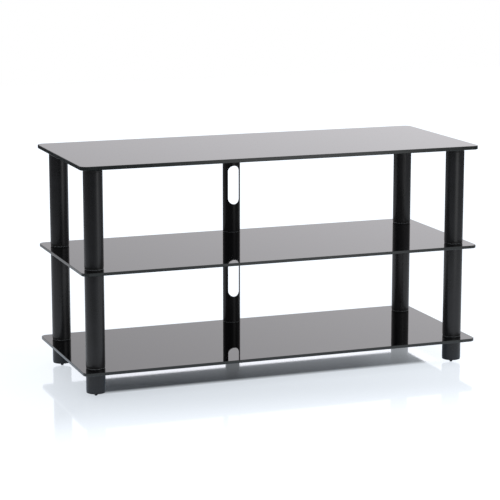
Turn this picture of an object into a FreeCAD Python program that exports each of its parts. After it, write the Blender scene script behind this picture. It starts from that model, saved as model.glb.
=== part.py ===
import FreeCAD, Part
import math
import os

# Audio video rack: three glass shelves on four round posts, with a half-round cable column at the back.
# Millimetres, +Z up. The origin is on the floor, under the middle of the shelves. +X is the rack's right
# as seen from the front, and +Y is its back.

# Overall size, and the heights of the other two shelves
WIDTH = 1100.0            # all three shelves, left to right
DEPTH = 450.0             # all three shelves, front to back
HEIGHT = 602.0            # floor to the top face of the top shelf
MIDDLE_HEIGHT = 332.0     # floor to the top face of the middle shelf
BOTTOM_HEIGHT = 74.0      # floor to the top face of the bottom shelf

# Glass
TOP_GLASS_T = 10.0        # the top shelf, which carries the heaviest set
GLASS_T = 8.0             # the middle and bottom shelves
CORNER_R = 18.0           # rounded corners in plan
ARRIS = 0.8               # polished bevel along every edge of the glass
GLASS_HOLE_D = 12.0       # drilled holes in the middle and bottom shelves

# Posts
TUBE_D = 50.0
TUBE_WALL = 1.5
POST_INSET_X = 45.0       # post axis from the side edges of the glass
POST_INSET_Y = 58.0       # post axis from the front and back edges of the glass

# Tube ends: plug, gasket and bonded disc
FLANGE_T = 4.0            # the part of a plug that shows past its tube
FLANGE_EDGE = 0.8         # bevel round the flange
END_STEP = 0.5            # flanges, gaskets and discs are this much smaller in radius than the tube
SPIGOT_L = 14.0           # the part of a plug inside its tube
FIN_COUNT = 3
FIN_T = 2.0
FIN_DEPTH = 3.0
GASKET_T = 1.0
BOND_T = 6.0              # plates bonded under the top shelf

# M8 hardware
M8_D = 8.0
THREAD_GAP = 0.05         # radial play of a thread in its insert, plate or nut
M8_CLEAR = 0.4            # radial play of a plain hole round an M8 thread
M8_BEVEL = 0.8            # lead-in at the ends of studs, bolts and screws
INSERT_D = 12.0
INSERT_L = 14.0
STUD_GRIP = 10.0          # depth of a stud or bolt in an insert
BOND_SKIN = 1.0           # metal left above the blind thread in a bonded plate
FIT_GAP = 0.05            # radial play of a pushed-in piece: plug, insert or sleeve
HEX_SIDES = 6
HEX_AF = 13.0             # across the flats of every bolt head, nut and collar
HEX_EDGE = 0.8            # corner bevel of the hexagons
HEAD_T = 5.3
NUT_T = 6.5
NUT_SPARE = 2.0           # thread that stands out of the nut
WASHER_D = 16.0
WASHER_T = 1.6

# Levelling feet
LEVEL_TRAVEL = 10.0       # how far a screw can be wound out
SCREW_SPARE = 2.0         # thread above the insert when wound right out
COLLAR_T = 3.0            # hex collar of the levelling screw
GLIDE_H = 6.0
GLIDE_TIP_D = 6.0         # flat that stands on the floor
GLIDE_TOP_D = 12.0
PIVOT_D = 5.0             # plain pin that turns in the glide
PIVOT_L = 3.5
PIVOT_GAP = 0.05
PIVOT_FLOOR = 0.3         # room under the pin

# Cable column
COLUMN_D = 50.0
COLUMN_WALL = 1.5
COLUMN_BACK = 17.0        # open side of the channels from the back edge of the glass
COLUMN_PLATE_T = 2.0      # half-round plates welded into the ends of the channels
COLUMN_BOLT_IN = 9.0      # bolt axis in front of the open side
COLUMN_FOOT_D = 40.0
SLOT_W = 32.0
SLOT_L = 108.0
SLOT_DROP = 67.0          # top of each slot below the top end of its channel

# Places worked out from the sizes above
TOP_LOW = HEIGHT - TOP_GLASS_T
MIDDLE_LOW = MIDDLE_HEIGHT - GLASS_T
BOTTOM_LOW = BOTTOM_HEIGHT - GLASS_T
FOOT_LOW = GLIDE_H + COLLAR_T
POST_X = WIDTH / 2 - POST_INSET_X
POST_Y = DEPTH / 2 - POST_INSET_Y
COLUMN_R = COLUMN_D / 2
COLUMN_Y = DEPTH / 2 - COLUMN_BACK
BOLT_Y = COLUMN_Y - COLUMN_BOLT_IN
M8_R = M8_D / 2
THREAD_R = M8_R + THREAD_GAP
HOLE_R = M8_R + M8_CLEAR
POSTS = {
    "front_left": (-POST_X, -POST_Y),
    "front_right": (POST_X, -POST_Y),
    "rear_left": (-POST_X, POST_Y),
    "rear_right": (POST_X, POST_Y),
}
COLUMN_AXIS = (0.0, BOLT_Y)
FEET = dict(POSTS, column=COLUMN_AXIS)


def cylinder(axis, radius, low, high):
    """A round bar standing on the given axis."""
    return Part.makeCylinder(radius, high - low, FreeCAD.Vector(axis[0], axis[1], low))


def ring(axis, outer, inner, low, high):
    """A tube or washer standing on the given axis."""
    return cylinder(axis, outer, low, high).cut(cylinder(axis, inner, low, high))


def turned(axis, outline, start=0.0, way=1):
    """A turned solid from (radius, height) points; way -1 turns it upside down below its start."""
    corners = [FreeCAD.Vector(radius, 0, way * height) for radius, height in outline]
    face = Part.Face(Part.makePolygon(corners + corners[:1]))
    solid = face.revolve(FreeCAD.Vector(0, 0, 0), FreeCAD.Vector(0, 0, 1), 360)
    solid.translate(FreeCAD.Vector(axis[0], axis[1], start))
    return solid


def hexagon(axis, low, high):
    """A hexagon with bevelled corners, for bolt heads, nuts and collars."""
    half_turn = math.pi / HEX_SIDES
    corner = HEX_AF / 2 / math.cos(half_turn)
    turns = [2 * half_turn * side for side in range(HEX_SIDES)]
    points = [FreeCAD.Vector(corner * math.cos(t), corner * math.sin(t), 0) for t in turns]
    height = high - low
    prism = Part.Face(Part.makePolygon(points + points[:1])).extrude(FreeCAD.Vector(0, 0, height))
    prism.translate(FreeCAD.Vector(axis[0], axis[1], low))
    flat = corner - HEX_EDGE
    bevel = HEX_EDGE * math.tan(half_turn)
    outline = [(0, 0), (flat, 0), (corner, bevel), (corner, height - bevel), (flat, height), (0, height)]
    return prism.common(turned(axis, outline, low))


def threaded_bar(axis, low, high, bevel_low=M8_BEVEL, bevel_high=M8_BEVEL):
    """An M8 bar at its outer diameter, bevelled at its ends."""
    length = high - low
    outline = [(0, 0), (M8_R - bevel_low, 0), (M8_R, bevel_low), (M8_R, length - bevel_high),
               (M8_R - bevel_high, length), (0, length)]
    if bevel_low == 0:
        outline.pop(2)
    if bevel_high == 0:
        outline.pop(-2)
    return turned(axis, outline, low)


def shelf(low, high, holes):
    """One glass shelf: rounded corners, bevelled edges and its drilled holes."""
    glass = Part.makeBox(WIDTH, DEPTH, high - low, FreeCAD.Vector(-WIDTH / 2, -DEPTH / 2, low))
    upright = [e for e in glass.Edges if abs(e.tangentAt(e.FirstParameter).z) > 0.5]
    glass = glass.makeFillet(CORNER_R, upright)
    level = [e for e in glass.Edges if e.BoundBox.ZLength < (high - low) / 2]
    glass = glass.makeChamfer(ARRIS, level)
    for axis in holes:
        glass = glass.cut(cylinder(axis, GLASS_HOLE_D / 2, low, high))
    return glass


def plug(axis, tube_d, tube_wall, face, way):
    """A moulded end plug: bevelled flange, ribbed spigot and a bore for its insert."""
    flange_r = tube_d / 2 - END_STEP
    fin_r = tube_d / 2 - tube_wall - FIT_GAP
    core_r = fin_r - FIN_DEPTH
    bore_r = INSERT_D / 2 + FIT_GAP
    outline = [(bore_r, 0), (flange_r - FLANGE_EDGE, 0), (flange_r, FLANGE_EDGE), (flange_r, FLANGE_T)]
    pitch = SPIGOT_L / FIN_COUNT
    for fin in range(FIN_COUNT):
        start = FLANGE_T + fin * pitch
        outline += [(fin_r, start), (fin_r, start + FIN_T)]
        outline += [(core_r, start + FIN_T), (core_r, start + pitch)]
    outline.append((bore_r, FLANGE_T + SPIGOT_L))
    return turned(axis, outline, face, way)


def insert(axis, face, way):
    """A threaded insert, flush with the outer face of its plug."""
    far = face + way * INSERT_L
    return ring(axis, INSERT_D / 2, THREAD_R, min(face, far), max(face, far))


def half_disc(radius, low, high, hole_r, hole_top=None):
    """A half-round plate at the cable column, flat side to the back, with its bolt hole."""
    plate = cylinder((0, COLUMN_Y), radius, low, high)
    behind = FreeCAD.Vector(-radius, COLUMN_Y, low)
    plate = plate.cut(Part.makeBox(2 * radius, radius, high - low, behind))
    return plate.cut(cylinder(COLUMN_AXIS, hole_r, low, hole_top or high))


def channel(low, high):
    """A cable channel: half-round sheet open at the back, welded end plates and one long slot."""
    sheet = ring((0, COLUMN_Y), COLUMN_R, COLUMN_R - COLUMN_WALL, low, high)
    behind = FreeCAD.Vector(-COLUMN_R, COLUMN_Y, low)
    sheet = sheet.cut(Part.makeBox(COLUMN_D, COLUMN_R, high - low, behind))
    end_plates = [
        half_disc(COLUMN_R, low, low + COLUMN_PLATE_T, HOLE_R),
        half_disc(COLUMN_R, high - COLUMN_PLATE_T, high, HOLE_R),
    ]
    middle = high - SLOT_DROP - SLOT_L / 2
    straight = SLOT_L - SLOT_W
    front = COLUMN_Y - COLUMN_D
    cut_from = FreeCAD.Vector(-SLOT_W / 2, front, middle - straight / 2)
    slot = [Part.makeBox(SLOT_W, COLUMN_D, straight, cut_from)]
    for end in (-1, 1):
        centre = FreeCAD.Vector(0, front, middle + end * straight / 2)
        slot.append(Part.makeCylinder(SLOT_W / 2, COLUMN_D, centre, FreeCAD.Vector(0, 1, 0)))
    return sheet.fuse(end_plates).removeSplitter().cut(slot)


def hex_bolt(under_head, length, way):
    """A hex bolt on the column's axis; way -1 points its shank down."""
    head = under_head - way * HEAD_T
    tip = under_head + way * length
    low, high = min(under_head, tip), max(under_head, tip)
    bevels = (0, M8_BEVEL) if way > 0 else (M8_BEVEL, 0)
    shank = threaded_bar(COLUMN_AXIS, low, high, *bevels)
    return hexagon(COLUMN_AXIS, min(head, under_head), max(head, under_head)).fuse(shank)


def washer(low):
    """A flat washer on the column's axis."""
    return ring(COLUMN_AXIS, WASHER_D / 2, HOLE_R, low, low + WASHER_T)


def levelling_screw(axis):
    """An M8 levelling screw: pin in the glide, hex collar under the foot plug, thread in the insert."""
    thread_top = FOOT_LOW + INSERT_L + LEVEL_TRAVEL + SCREW_SPARE
    pin = cylinder(axis, PIVOT_D / 2, GLIDE_H - PIVOT_L, GLIDE_H)
    thread = threaded_bar(axis, FOOT_LOW, thread_top, bevel_low=0)
    return hexagon(axis, GLIDE_H, FOOT_LOW).fuse([pin, thread])


def glide(axis):
    """A tapered glide that stands on the floor, with a socket for the screw's pin."""
    socket_r = PIVOT_D / 2 + PIVOT_GAP
    socket_low = GLIDE_H - PIVOT_L - PIVOT_FLOOR
    outline = [(0, 0), (GLIDE_TIP_D / 2, 0), (GLIDE_TOP_D / 2, GLIDE_H), (socket_r, GLIDE_H),
               (socket_r, socket_low), (0, socket_low)]
    return turned(axis, outline)


nodes = {}

# Glass shelves. The top one is bonded, so it has no holes.
drilled = list(POSTS.values()) + [COLUMN_AXIS]
nodes["bottom_shelf"] = shelf(BOTTOM_LOW, BOTTOM_HEIGHT, drilled)
nodes["middle_shelf"] = shelf(MIDDLE_LOW, MIDDLE_HEIGHT, drilled)
nodes["top_shelf"] = shelf(TOP_LOW, HEIGHT, [])

# Post stages: the faces that the end plugs of each stage bear on, from the floor up
STAGES = {
    "foot": (FOOT_LOW, BOTTOM_LOW - GASKET_T),
    "lower": (BOTTOM_HEIGHT + GASKET_T, MIDDLE_LOW - GASKET_T),
    "upper": (MIDDLE_HEIGHT + GASKET_T, TOP_LOW - BOND_T),
}
inserts = []
for stage, (low, high) in STAGES.items():
    plugs = []
    for corner, axis in POSTS.items():
        tube = ring(axis, TUBE_D / 2, TUBE_D / 2 - TUBE_WALL, low + FLANGE_T, high - FLANGE_T)
        nodes[f"{stage}_tube_{corner}"] = tube
        for face, way in ((low, 1), (high, -1)):
            plugs.append(plug(axis, TUBE_D, TUBE_WALL, face, way))
            inserts.append(insert(axis, face, way))
    nodes[f"{stage}_tube_plugs"] = Part.makeCompound(plugs)
nodes["plug_inserts"] = Part.makeCompound(inserts)

# Bonded discs under the top shelf, each with a blind thread for a stud
disc_r = TUBE_D / 2 - END_STEP
disc_outline = [(0, 0), (disc_r, 0), (disc_r, BOND_T - FLANGE_EDGE), (disc_r - FLANGE_EDGE, BOND_T),
                (THREAD_R, BOND_T), (THREAD_R, BOND_SKIN), (0, BOND_SKIN)]
discs = [turned(axis, disc_outline, TOP_LOW, -1) for axis in POSTS.values()]
nodes["post_bond_discs"] = Part.makeCompound(discs)

# Studs: from the bonded discs down, and through the two drilled shelves
stud_spans = {
    "top_studs": (TOP_LOW - BOND_T - STUD_GRIP, TOP_LOW - BOND_SKIN),
    "middle_shelf_studs": (MIDDLE_LOW - GASKET_T - STUD_GRIP, MIDDLE_HEIGHT + GASKET_T + STUD_GRIP),
    "bottom_shelf_studs": (BOTTOM_LOW - GASKET_T - STUD_GRIP, BOTTOM_HEIGHT + GASKET_T + STUD_GRIP),
}
for name, (low, high) in stud_spans.items():
    nodes[name] = Part.makeCompound([threaded_bar(axis, low, high) for axis in POSTS.values()])

# Gaskets on both faces of the drilled shelves, and sleeves in their holes
sleeve_r = GLASS_HOLE_D / 2 - FIT_GAP
gasket_r = TUBE_D / 2 - END_STEP
for name, low in (("middle_shelf", MIDDLE_LOW), ("bottom_shelf", BOTTOM_LOW)):
    gaskets = []
    for axis in POSTS.values():
        for face in (low - GASKET_T, low + GLASS_T):
            gaskets.append(ring(axis, gasket_r, HOLE_R, face, face + GASKET_T))
    nodes[f"{name}_gaskets"] = Part.makeCompound(gaskets)
    sleeves = [ring(axis, sleeve_r, HOLE_R, low, low + GLASS_T) for axis in drilled]
    nodes[f"{name}_sleeves"] = Part.makeCompound(sleeves)

# Cable column: two channels, the bonded plate that holds the upper one, and gaskets on the glass
column_top = TOP_LOW - BOND_T
upper_base = MIDDLE_HEIGHT + GASKET_T
lower_top = MIDDLE_LOW - GASKET_T
lower_base = BOTTOM_HEIGHT + GASKET_T
plate_r = COLUMN_R - END_STEP
nodes["upper_cable_channel"] = channel(upper_base, column_top)
nodes["lower_cable_channel"] = channel(lower_base, lower_top)
nodes["column_bond_plate"] = half_disc(plate_r, column_top, TOP_LOW, THREAD_R, TOP_LOW - BOND_SKIN)
gasket_lows = (MIDDLE_HEIGHT, lower_top, BOTTOM_HEIGHT)
column_gaskets = [half_disc(plate_r, low, low + GASKET_T, HOLE_R) for low in gasket_lows]

# Foot under the cable column: a narrower tube with the same kind of plugs
foot_top = BOTTOM_LOW - GASKET_T
foot_r = COLUMN_FOOT_D / 2
foot_low, foot_high = FOOT_LOW + FLANGE_T, foot_top - FLANGE_T
nodes["column_foot_tube"] = ring(COLUMN_AXIS, foot_r, foot_r - TUBE_WALL, foot_low, foot_high)
foot_ends = ((FOOT_LOW, 1), (foot_top, -1))
foot_plugs = [plug(COLUMN_AXIS, COLUMN_FOOT_D, TUBE_WALL, face, way) for face, way in foot_ends]
nodes["column_foot_plugs"] = Part.makeCompound(foot_plugs)
foot_inserts = [insert(COLUMN_AXIS, face, way) for face, way in foot_ends]
nodes["column_foot_inserts"] = Part.makeCompound(foot_inserts)
column_gaskets.append(ring(COLUMN_AXIS, foot_r - END_STEP, HOLE_R, foot_top, BOTTOM_LOW))
nodes["column_gaskets"] = Part.makeCompound(column_gaskets)

# Bolts of the cable column: up into the bonded plate, through the middle shelf, and down into the foot
top_seat = column_top - COLUMN_PLATE_T - WASHER_T
middle_seat = upper_base + COLUMN_PLATE_T + WASHER_T
nut_seat = lower_top - COLUMN_PLATE_T - WASHER_T
bottom_seat = lower_base + COLUMN_PLATE_T + WASHER_T
nodes["column_bolts"] = Part.makeCompound([
    hex_bolt(top_seat, TOP_LOW - BOND_SKIN - top_seat, 1),
    hex_bolt(middle_seat, middle_seat - nut_seat + NUT_T + NUT_SPARE, -1),
    hex_bolt(bottom_seat, bottom_seat - foot_top + STUD_GRIP, -1),
])
washer_lows = (top_seat, middle_seat - WASHER_T, nut_seat, bottom_seat - WASHER_T)
nodes["column_washers"] = Part.makeCompound([washer(low) for low in washer_lows])
nut = hexagon(COLUMN_AXIS, nut_seat - NUT_T, nut_seat)
nodes["column_nut"] = nut.cut(cylinder(COLUMN_AXIS, THREAD_R, nut_seat - NUT_T, nut_seat))

# Levelling feet: one screw and one glide under each post and under the column
for place, axis in FEET.items():
    nodes[f"levelling_screw_{place}"] = levelling_screw(axis)
    nodes[f"glide_{place}"] = glide(axis)

os.makedirs("parts", exist_ok=True)
for name, shape in nodes.items():
    shape.exportStep(f"parts/{name}.step")
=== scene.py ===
import math
import bpy
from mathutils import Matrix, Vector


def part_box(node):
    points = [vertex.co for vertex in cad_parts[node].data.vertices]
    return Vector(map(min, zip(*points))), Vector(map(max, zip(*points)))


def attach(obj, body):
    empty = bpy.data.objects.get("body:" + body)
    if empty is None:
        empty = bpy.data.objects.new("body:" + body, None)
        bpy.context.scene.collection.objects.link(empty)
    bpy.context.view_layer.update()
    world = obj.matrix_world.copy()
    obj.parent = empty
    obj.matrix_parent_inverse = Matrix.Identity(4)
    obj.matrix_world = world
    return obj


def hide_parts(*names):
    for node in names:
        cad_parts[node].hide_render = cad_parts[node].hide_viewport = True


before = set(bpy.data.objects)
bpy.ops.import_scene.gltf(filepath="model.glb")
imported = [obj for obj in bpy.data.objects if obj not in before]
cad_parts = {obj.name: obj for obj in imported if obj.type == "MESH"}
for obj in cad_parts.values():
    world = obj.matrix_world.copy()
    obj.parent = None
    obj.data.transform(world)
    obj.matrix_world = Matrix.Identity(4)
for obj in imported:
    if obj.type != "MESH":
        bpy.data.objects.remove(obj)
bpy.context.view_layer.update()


# Glides: the five plain tips that the rack stands on, one under each post and one under the cable column.
# They are injection moulded in black nylon: a short cone with a rounded toe and a blind socket on top,
# pushed on to the pin of the levelling screw, which turns in it.
MM = 0.001
UPRIGHT = 0.9                   # a direction with more Z than this counts as up or down
LEVEL = 0.5                     # a direction with less Z than this counts as level
FLAT = 0.99                     # a face whose normal has more Z than this is square to the axis
PLACES = ("front_left", "front_right", "rear_left", "rear_right", "column")
SMOOTH_BELOW = math.radians(36)
GLIDE_SIDES = 64
GLIDE_TOE_R = 3.0 * MM
GLIDE_TOE_ROUND = 0.7 * MM
GLIDE_RIM_ROUND = 0.4 * MM
GLIDE_SOCKET_R = 2.55 * MM
GLIDE_SOCKET_DEEP = 3.8 * MM
NYLON_TONES = ((0.3, "#0b0b0c"), (0.7, "#111213"))
NYLON_ROUGHNESS = (0.40, 0.52)
NYLON_IOR = 1.53
NYLON_GRAIN = 0.7 * MM
NYLON_RELIEF = 0.05 * MM
NYLON_CLOUD = 9.0 * MM


def linear(colour):
    """An sRGB hex colour as the linear values that a shader socket takes."""
    parts = [int(colour[i:i + 2], 16) / 255 for i in (1, 3, 5)]
    return [p / 12.92 if p <= 0.04045 else ((p + 0.055) / 1.055) ** 2.4 for p in parts] + [1]


def add_node(tree, kind, inputs=None, stops=(), **settings):
    """Adds a shader node, sets its settings and its colour stops, and fills or links its inputs."""
    new = tree.nodes.new("ShaderNode" + kind)
    for name, value in settings.items():
        setattr(new, name, value)
    for name, value in (inputs or {}).items():
        if isinstance(value, bpy.types.NodeSocket):
            tree.links.new(value, new.inputs[name])
        else:
            new.inputs[name].default_value = value
    for at, colour in stops[1:-1]:
        new.color_ramp.elements.new(at)
    for i, (at, colour) in enumerate(stops):
        new.color_ramp.elements[i].position = at
        new.color_ramp.elements[i].color = linear(colour)
    return new


def start_finish(name):
    """A new finish with an empty node tree, and the coordinates of the piece that wears it."""
    finish = bpy.data.materials.new(name)
    finish.use_nodes = True
    finish.node_tree.nodes.clear()
    place = add_node(finish.node_tree, "TexCoord").outputs["Object"]
    return finish, finish.node_tree, place


def hold(*pieces):
    """Leaves edit mode and selects just these pieces, the last of them active."""
    if bpy.context.mode != "OBJECT":
        bpy.ops.object.mode_set(mode="OBJECT")
    bpy.ops.object.select_all(action="DESELECT")
    for piece in pieces:
        piece.select_set(True)
        bpy.context.view_layer.objects.active = piece


def pick(piece, kind, rule):
    """Opens a piece in edit mode with just those corners, edges or faces selected that the rule accepts by
    their middle and their direction: along an edge, or out from a corner or a face."""
    hold(piece)
    bpy.ops.object.mode_set(mode="EDIT")
    bpy.ops.mesh.select_mode(type=kind)
    bpy.ops.mesh.select_all(action="DESELECT")
    bpy.ops.object.mode_set(mode="OBJECT")
    mesh = piece.data
    if kind == "FACE":
        for face in mesh.polygons:
            face.select = rule(face.center, face.normal)
    elif kind == "EDGE":
        for edge in mesh.edges:
            a, b = (mesh.vertices[i].co for i in edge.vertices)
            edge.select = rule((a + b) / 2, (b - a).normalized())
    else:
        for corner in mesh.vertices:
            corner.select = rule(corner.co, corner.normal)
    bpy.ops.object.mode_set(mode="EDIT")


def copy_to(piece, place, upside_down=False):
    """A copy of a piece, with its own mesh, at another place."""
    hold(piece)
    bpy.ops.object.duplicate()
    twin = bpy.context.object
    twin.location = place
    if upside_down:
        twin.rotation_euler.x = math.pi
    return twin


def settle(piece, name, body, slot, finish, *stands_for):
    """Puts a shaped piece's place into its mesh, smooths it, and lets it stand for its CAD nodes."""
    hold(piece)
    bpy.ops.object.transform_apply(location=True, rotation=True, scale=True)
    bpy.ops.object.shade_smooth_by_angle(angle=SMOOTH_BELOW)
    even = piece.modifiers.new("even shading", "WEIGHTED_NORMAL")
    even.keep_sharp = True
    bpy.ops.object.modifier_apply(modifier=even.name)
    piece.name = name
    piece.data.name = name
    piece.data.materials.append(finish)
    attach(piece, body)
    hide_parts(*stands_for)


# Moulded nylon: nearly black, a soft sheen broken by the fine grain of an eroded mould.
moulded_nylon, tree, place = start_finish("moulded black nylon")
grain = add_node(tree, "TexNoise", {"Vector": place, "Scale": 1 / NYLON_GRAIN, "Detail": 3.0})
cloud = add_node(tree, "TexNoise", {"Vector": place, "Scale": 1 / NYLON_CLOUD, "Detail": 2.0})
tone = add_node(tree, "ValToRGB", {"Fac": cloud.outputs["Fac"]}, NYLON_TONES)
sheen = add_node(tree, "MapRange", {
    "Value": cloud.outputs["Fac"], "To Min": NYLON_ROUGHNESS[0], "To Max": NYLON_ROUGHNESS[1]})
relief = add_node(tree, "Bump", {"Height": grain.outputs["Fac"], "Strength": 0.2, "Distance": NYLON_RELIEF})
shader = add_node(tree, "BsdfPrincipled", {
    "Base Color": tone.outputs["Color"], "Roughness": sheen.outputs["Result"],
    "Normal": relief.outputs["Normal"], "IOR": NYLON_IOR})
add_node(tree, "OutputMaterial", {"Surface": shader.outputs["BSDF"]})

low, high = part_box("glide_front_left")
glide_r = (high.x - low.x) / 2
glide_half = (high.z - low.z) / 2
hold()
bpy.ops.mesh.primitive_cylinder_add(vertices=GLIDE_SIDES, radius=glide_r, depth=2 * glide_half)
glide = bpy.context.object
pick(glide, "FACE", lambda middle, normal: normal.z < -UPRIGHT)
toe = GLIDE_TOE_R / glide_r
bpy.ops.transform.resize(value=(toe, toe, 1), center_override=(0, 0, 0))
pick(glide, "EDGE", lambda middle, along: middle.z < 0 and abs(along.z) < LEVEL)
bpy.ops.mesh.bevel(offset=GLIDE_TOE_ROUND, segments=4)
pick(glide, "EDGE", lambda middle, along: middle.z > 0 and abs(along.z) < LEVEL)
bpy.ops.mesh.bevel(offset=GLIDE_RIM_ROUND, segments=3)
pick(glide, "FACE", lambda middle, normal: normal.z > FLAT)
bpy.ops.mesh.inset(thickness=glide_r - GLIDE_RIM_ROUND - GLIDE_SOCKET_R)
bpy.ops.mesh.extrude_region_move(TRANSFORM_OT_translate={"value": (0, 0, -GLIDE_SOCKET_DEEP)})
for spot in PLACES:
    low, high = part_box(f"glide_{spot}")
    tip = copy_to(glide, (low + high) / 2)
    settle(tip, f"{spot}_glide_tip", f"{spot}_glide", "glide", moulded_nylon, f"glide_{spot}")
bpy.data.objects.remove(glide)


# Levelling screws: five M8 screws with a hex collar, turned and rolled from steel and black zinc plated.
# The pin below the collar turns in the glide, and the thread above it winds in and out of the foot's insert.
# The thread shows as soon as a foot is wound out, so it is a real one, of the pitch that the foot moves by.
BAR_SIDES = 96
HEX_SIDES = 6
HEX_FLATS = 13.0 * MM
HEX_BEVEL = 0.8 * MM
HEX_BEVEL_ANGLE = math.radians(30)
THREAD_R = 4.0 * MM
THREAD_PITCH = 1.25 * MM
THREAD_STEPS = 36               # facets in one turn of the thread
SPARE_TURNS = 2                 # turns past each end, which are cut off
CREST_FLAT = 0.16 * MM
WELD = 0.01 * MM                # corners closer than this become one
ON_THE_CUT = 0.0001 * MM        # a corner closer than this to a cut lies on it
LEAD_IN = 0.9 * MM
LEAD_STEPS = 4
LEAD_TAPER = 0.945
PIN_R = 2.5 * MM
PIN_L = 3.5 * MM
PIN_ROUND = 0.3 * MM
COLLAR_T = 3.0 * MM
ROOTED = 1.0 * MM               # how far a shape runs into or past another that it is joined to or cuts
BLACK_ZINC_TONES = ((0.35, "#2e2f33"), (0.75, "#3a3933"))
BLACK_ZINC_ROUGHNESS = (0.28, 0.42)
ZINC_CLOUD = 4.0 * MM
ROLL_MARKS = 0.5 * MM
ROLL_RELIEF = 0.02 * MM
WAVE_PERIOD = math.pi / 10      # from one band of Blender's wave texture to the next, at a scale of 1


def shape_with(piece, tool, operation):
    """Cuts, joins or trims a piece with another solid, which is used up."""
    hold(piece)
    work = piece.modifiers.new("work", "BOOLEAN")
    work.operation = operation
    work.solver = "EXACT"
    work.object = tool
    bpy.ops.object.modifier_apply(modifier=work.name)
    bpy.data.objects.remove(tool)


def round_bar(radius, low, high, sides=BAR_SIDES):
    """A round bar on the origin's axis, with its place in its mesh, ready to be worked."""
    hold()
    bpy.ops.mesh.primitive_cylinder_add(
        vertices=sides, radius=radius, depth=high - low, location=(0, 0, (low + high) / 2))
    bpy.ops.object.transform_apply(location=True, rotation=True, scale=True)
    return bpy.context.object


def hexagon(low, high):
    """A hexagon cut from bar, with its corners turned down at both ends."""
    corner = HEX_FLATS / 2 / math.cos(math.pi / HEX_SIDES)
    block = round_bar(corner, low, high, sides=HEX_SIDES)
    pick(block, "FACE", lambda middle, normal: True)
    bpy.ops.transform.rotate(value=math.pi / HEX_SIDES, orient_axis="Z", center_override=(0, 0, 0))
    turning = round_bar(corner, low, high)
    pick(turning, "FACE", lambda middle, normal: abs(normal.z) > UPRIGHT)
    bpy.ops.mesh.inset(thickness=HEX_BEVEL)
    drop = HEX_BEVEL * math.tan(HEX_BEVEL_ANGLE)
    for end, way in ((low, 1), (high, -1)):
        pick(turning, "VERT", lambda place, normal: abs(place.z - end) < drop / 4
             and place.xy.length > corner - HEX_BEVEL / 2)
        bpy.ops.transform.translate(value=(0, 0, way * drop))
    shape_with(block, turning, "INTERSECT")
    return block


def threaded_rod(low, high, tip):
    """An M8 rod: one V-shaped tooth wound up as a screw, cut square at both ends, and tapered to its tip."""
    hold()
    tooth = (math.pi / 2, math.pi / 2, 0)
    bpy.ops.mesh.primitive_circle_add(vertices=3, radius=THREAD_PITCH / math.sqrt(3), rotation=tooth)
    bpy.ops.object.transform_apply(location=True, rotation=True, scale=True)
    rod = bpy.context.object
    pick(rod, "EDGE", lambda middle, along: abs(along.z) > UPRIGHT)
    bpy.ops.mesh.delete(type="EDGE")
    pick(rod, "VERT", lambda place, normal: place.x > 0)
    bpy.ops.mesh.bevel(offset=CREST_FLAT, affect="VERTICES")
    hold(rod)
    crest = max(corner.co.x for corner in rod.data.vertices)
    pick(rod, "VERT", lambda place, normal: True)
    bpy.ops.transform.translate(value=(THREAD_R - crest, 0, low - SPARE_TURNS * THREAD_PITCH))
    hold(rod)
    wind = rod.modifiers.new("wind", "SCREW")
    wind.screw_offset = THREAD_PITCH
    wind.iterations = math.ceil((high - low) / THREAD_PITCH) + 2 * SPARE_TURNS
    wind.steps = wind.render_steps = THREAD_STEPS
    bpy.ops.object.modifier_apply(modifier=wind.name)
    pick(rod, "VERT", lambda place, normal: True)
    bpy.ops.mesh.remove_doubles(threshold=WELD)
    for end, way in ((high, 1), (low, -1)):
        pick(rod, "FACE", lambda middle, normal: True)
        bpy.ops.mesh.bisect(plane_co=(0, 0, end), plane_no=(0, 0, way), use_fill=True, clear_outer=True,
                            threshold=ON_THE_CUT)
    pick(rod, "FACE", lambda middle, normal: True)
    bpy.ops.mesh.normals_make_consistent(inside=False)
    for step in range(LEAD_STEPS):
        pick(rod, "VERT", lambda place, normal: abs(tip - place.z) < LEAD_IN * (1 - step / LEAD_STEPS))
        bpy.ops.transform.resize(value=(LEAD_TAPER, LEAD_TAPER, 1), center_override=(0, 0, tip))
    hold(rod)
    return rod


# Black zinc plate: a dark metal with a faint olive cast in places, and fine marks round the bar from rolling.
black_zinc, tree, place = start_finish("black zinc plated steel")
cloud = add_node(tree, "TexNoise", {"Vector": place, "Scale": 1 / ZINC_CLOUD, "Detail": 3.0})
tone = add_node(tree, "ValToRGB", {"Fac": cloud.outputs["Fac"]}, BLACK_ZINC_TONES)
marks = add_node(tree, "TexWave", {
    "Vector": place, "Scale": WAVE_PERIOD / ROLL_MARKS, "Distortion": 0.6, "Detail": 2.0},
    bands_direction="Z")
sheen = add_node(tree, "MapRange", {
    "Value": cloud.outputs["Fac"], "To Min": BLACK_ZINC_ROUGHNESS[0], "To Max": BLACK_ZINC_ROUGHNESS[1]})
relief = add_node(tree, "Bump", {"Height": marks.outputs["Fac"], "Strength": 0.1, "Distance": ROLL_RELIEF})
shader = add_node(tree, "BsdfPrincipled", {
    "Base Color": tone.outputs["Color"], "Roughness": sheen.outputs["Result"],
    "Normal": relief.outputs["Normal"], "Metallic": 1.0})
add_node(tree, "OutputMaterial", {"Surface": shader.outputs["BSDF"]})

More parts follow.
